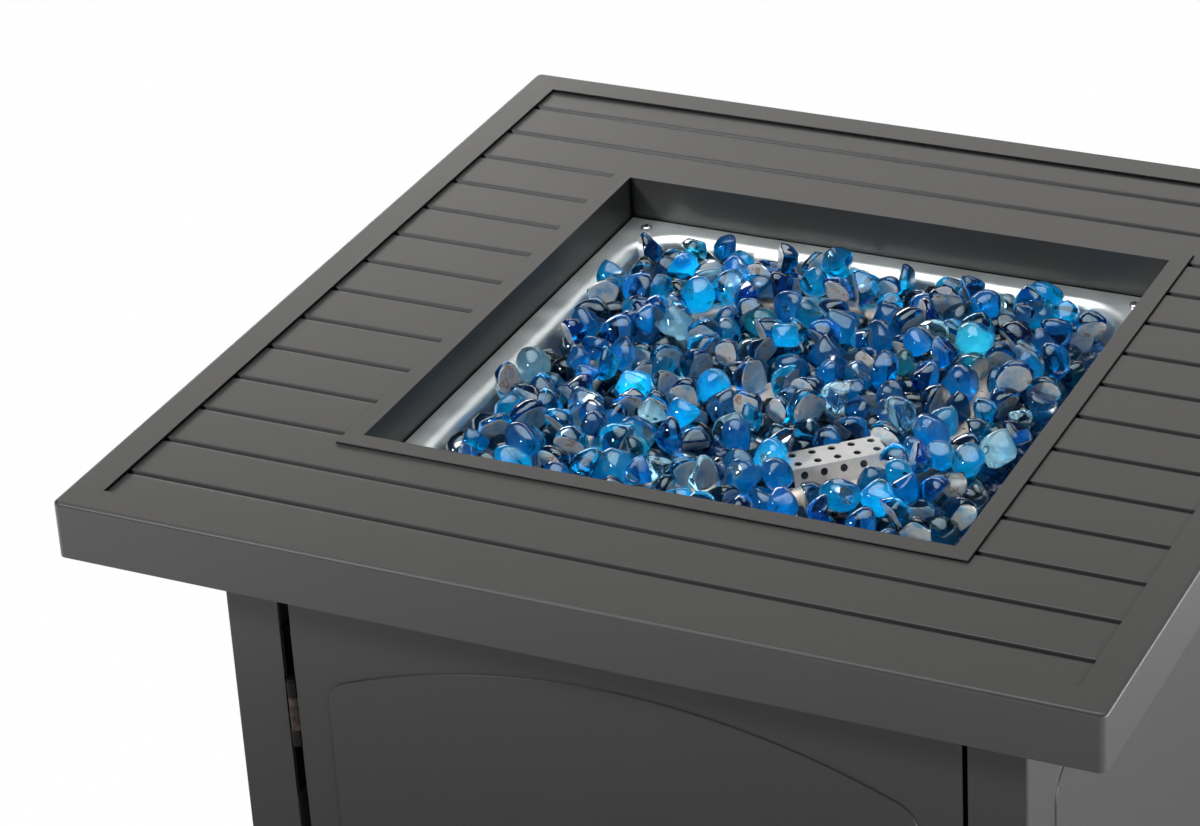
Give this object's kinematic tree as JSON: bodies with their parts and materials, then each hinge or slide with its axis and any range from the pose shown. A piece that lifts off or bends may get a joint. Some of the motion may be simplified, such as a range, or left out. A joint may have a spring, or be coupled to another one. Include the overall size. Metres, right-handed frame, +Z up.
{
  "type": "gas_fire_pit_table",
  "caption": "Square propane fire pit table: grooved steel top, blue fire glass over a ring burner, hinged door to the tank compartment, side knob and igniter",
  "frame": {"origin": "on the floor under the middle of the table", "axes": "+X right as seen from the door side, +Y away from the door, +Z up"},
  "size_m": [0.711, 0.711, 0.63],
  "materials": {
    "painted": "matte dark warm grey powder coat",
    "galvanised": "dull zinc coated sheet steel",
    "stainless": "drawn stainless steel, satin",
    "burner_steel": "stainless steel tube, dulled to beige by heat",
    "dark_steel": "blackened steel",
    "hinge_steel": "bare steel with a brown tarnish",
    "pilot_steel": "pale satin plated steel",
    "zinc": "bright zinc plated steel",
    "brass": "machined brass",
    "valve_alloy": "die cast alloy",
    "copper": "drawn copper tube",
    "rubber": "matte black rubber",
    "lead_jacket": "silicone rubber lead jacket",
    "ceramic": "glazed white ceramic",
    "black_plastic": "matte black moulded plastic",
    "button_plastic": "gloss red moulded plastic",
    "battery_wrap": "plain plastic film",
    "control_plate": "brushed stainless steel",
    "blue_glass": "deep blue to teal fire glass, mirrored faces"
  },
  "bodies": {
    "cabinet": {"air_mixer": "zinc", "back_panel": "painted", "base_plate": "galvanised", "burner_lock_nut": "zinc", "burner_pan": "stainless", "burner_supply_hose": "rubber", "control_panel": "control_plate", "control_screws": "zinc", "corner_post_back_left": "painted", "corner_post_back_right": "painted", "corner_post_front_left": "painted", "corner_post_front_right": "painted", "electrode_insulator": "ceramic", "electrode_pin": "zinc", "fire_glass_bed": "blue_glass", "fire_glass_drops": "blue_glass", "fire_opening_collar": "painted", "foot_fasteners": "zinc", "frame_hinge_leaves": "dark_steel", "frame_hinge_screws": "zinc", "front_bottom_rail": "painted", "front_top_rail": "painted", "gas_inlet_fitting": "brass", "gas_orifice": "brass", "gas_valve_body": "brass", "heat_shield": "galvanised", "hinge_pins": "dark_steel", "hose_nuts": "brass", "igniter_battery": "battery_wrap", "igniter_housing": "black_plastic", "igniter_ring_nut": "black_plastic", "ignition_lead": "lead_jacket", "inlet_elbow": "brass", "magnet_catch": "black_plastic", "pan_screws": "zinc", "panel_nuts": "zinc", "pilot_bracket": "stainless", "pilot_fasteners": "zinc", "pilot_shield": "pilot_steel", "ring_burner": "burner_steel", "rubber_feet": "rubber", "side_panel_left": "painted", "side_panel_right": "painted", "slatted_top_panel": "painted", "tank_seat_ring": "galvanised", "thermocouple": "copper", "top_border_frame": "painted", "top_fixing_screws": "zinc", "top_stiffeners": "galvanised", "upper_rails": "galvanised", "valve_bonnet": "valve_alloy"},
    "door": {"door_skin": "painted", "door_liner": "galvanised", "door_screws": "zinc", "door_handle": "zinc", "door_hinge_leaves": "hinge_steel"},
    "valve_core": {"valve_plug": "brass"},
    "knob": {"valve_stem": "zinc", "control_knob": "black_plastic"},
    "igniter_push": {"igniter_button": "button_plastic"}
  },
  "joints": [
    {"name": "door_hinge", "type": "hinge", "parent": "cabinet", "child": "door", "pos_m": [-0.2372, -0.279, 0.309], "axis": [0, 0, -1], "range_deg": [0, 105]},
    {"name": "knob_turn", "type": "hinge", "parent": "cabinet", "child": "valve_core", "pos_m": [-0.254, 0.032, 0.44], "axis": [-1, 0, 0], "range_deg": [0, 180]},
    {"name": "knob_press", "type": "slide", "parent": "valve_core", "child": "knob", "axis": [1, 0, 0], "range_m": [0, 0.004], "stiffness_N_per_m": 900},
    {"name": "igniter_press", "type": "slide", "parent": "cabinet", "child": "igniter_push", "axis": [1, 0, 0], "range_m": [0, 0.0035], "stiffness_N_per_m": 700}
  ]
}
